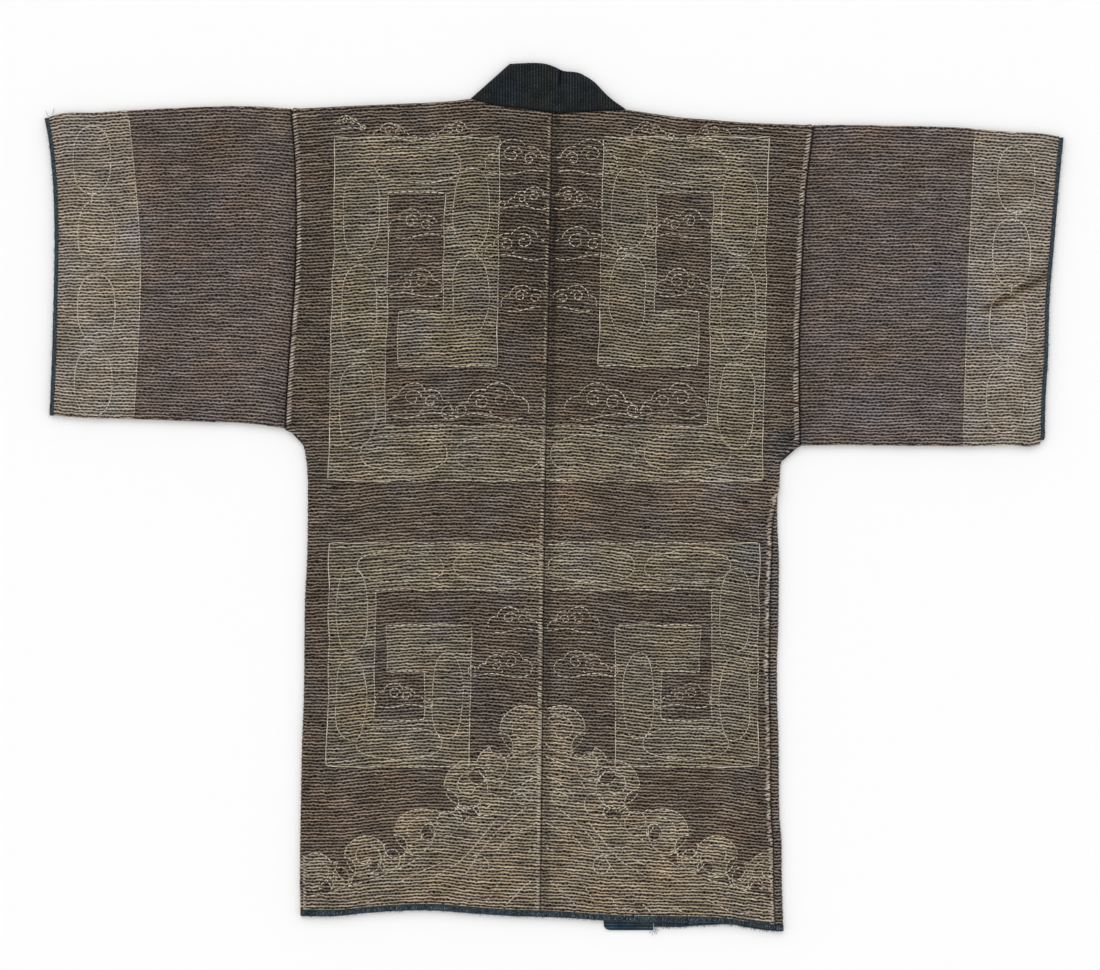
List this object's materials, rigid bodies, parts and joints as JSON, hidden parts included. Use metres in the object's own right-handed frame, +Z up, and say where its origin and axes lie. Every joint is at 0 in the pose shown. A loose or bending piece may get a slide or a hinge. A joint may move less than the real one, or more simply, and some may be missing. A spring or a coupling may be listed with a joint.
{
  "type": "quilted fireman's coat laid flat",
  "caption": "Japanese fireman's coat of thick quilted cotton, laid face down with its arms out, with a dark collar and bound hem and cuffs.",
  "frame": {"origin": "centre of the coat's outline, on the surface that it lies on", "axes": "+X towards the wearer's right sleeve, +Y up the coat to the collar, +Z up off the surface, out of the coat's back"},
  "size_m": [1.244, 1.06, 0.0086],
  "materials": {
    "body_quilt": "matte quilted cotton, brown on purple-black",
    "sleeve_quilt": "matte quilted cotton, brown-purple with lighter ends",
    "collar_cotton": "matte blue-black cotton with fine ribs",
    "binding_cotton": "matte dark indigo cotton"
  },
  "bodies": {
    "root": {"back_left": "body_quilt", "back_right": "body_quilt", "front_left": "body_quilt", "front_right": "body_quilt", "sleeve_left": "sleeve_quilt", "sleeve_right": "sleeve_quilt", "collar_nape": "collar_cotton", "collar_left": "collar_cotton", "collar_right": "collar_cotton", "hem_back": "binding_cotton", "hem_front_left": "binding_cotton", "hem_front_right": "binding_cotton", "cuff_left": "binding_cotton", "cuff_right": "binding_cotton"}
  },
  "joints": []
}
